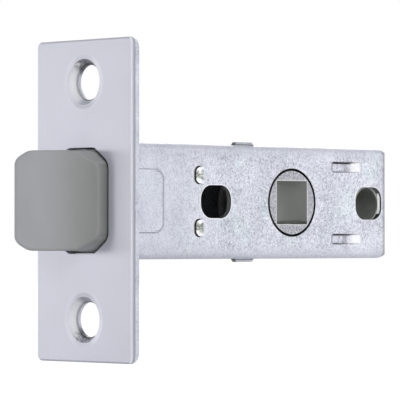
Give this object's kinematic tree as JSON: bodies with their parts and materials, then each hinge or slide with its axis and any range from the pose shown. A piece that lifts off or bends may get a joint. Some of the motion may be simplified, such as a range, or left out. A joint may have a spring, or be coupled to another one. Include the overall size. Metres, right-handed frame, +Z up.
{
  "type": "interior door latch",
  "caption": "Tubular mortice latch with a bevelled sprung bolt, a square spindle hub and a two-layer face plate with dimpled screw holes.",
  "frame": {"origin": "centre of the face plate's front face, on the bolt's axis", "axes": "+X into the door along the case, -Y the near broad side, +Z up"},
  "size_m": [0.082, 0.025, 0.057],
  "materials": {
    "plate_finish": "satin plated",
    "galvanised_steel": "galvanised",
    "inner_steel": "zinc plated",
    "hub_metal": "zinc plated casting",
    "spring_steel": "bright wire",
    "bolt_plastic": "moulded",
    "block_plastic": "moulded"
  },
  "bodies": {
    "case": {"front_plate": "plate_finish", "rear_plate": "galvanised_steel", "case_body": "galvanised_steel", "case_cover": "galvanised_steel", "guide_plate_near": "inner_steel", "guide_plate_far": "inner_steel", "spring_seat": "inner_steel", "end_block": "block_plastic", "bolt_spring": "spring_steel", "return_spring_upper": "spring_steel", "return_spring_lower": "spring_steel"},
    "hub": {"hub": "hub_metal"},
    "yoke": {"yoke": "inner_steel", "drive_bar_upper": "inner_steel", "drive_bar_lower": "inner_steel", "drive_pin_upper_near": "inner_steel", "drive_pin_upper_far": "inner_steel", "drive_pin_lower_near": "inner_steel", "drive_pin_lower_far": "inner_steel"},
    "bolt": {"latch_bolt": "bolt_plastic", "bolt_tail": "inner_steel", "bolt_pin_upper": "inner_steel", "bolt_pin_lower": "inner_steel"}
  },
  "joints": [
    {"name": "hub_turn", "type": "hinge", "parent": "case", "child": "hub", "pos_m": [0.045, 0, 0], "axis": [0, 1, 0], "range_deg": [0, 70]},
    {"name": "yoke_slide", "type": "slide", "parent": "case", "child": "yoke", "axis": [1, 0, 0], "range_m": [0, 0.01004], "stiffness_N_per_m": 40, "springref_m": -0.015, "deforming": ["return_spring_upper", "return_spring_lower"]},
    {"name": "bolt_slide", "type": "slide", "parent": "case", "child": "bolt", "axis": [1, 0, 0], "range_m": [0, 0.01006], "deforming": ["bolt_spring"]}
  ],
  "couplings": [
    {"joint": "hub_turn", "follows": "yoke_slide", "rad_per_m": 121.71},
    {"joint": "bolt_slide", "follows": "yoke_slide", "ratio": 1}
  ]
}
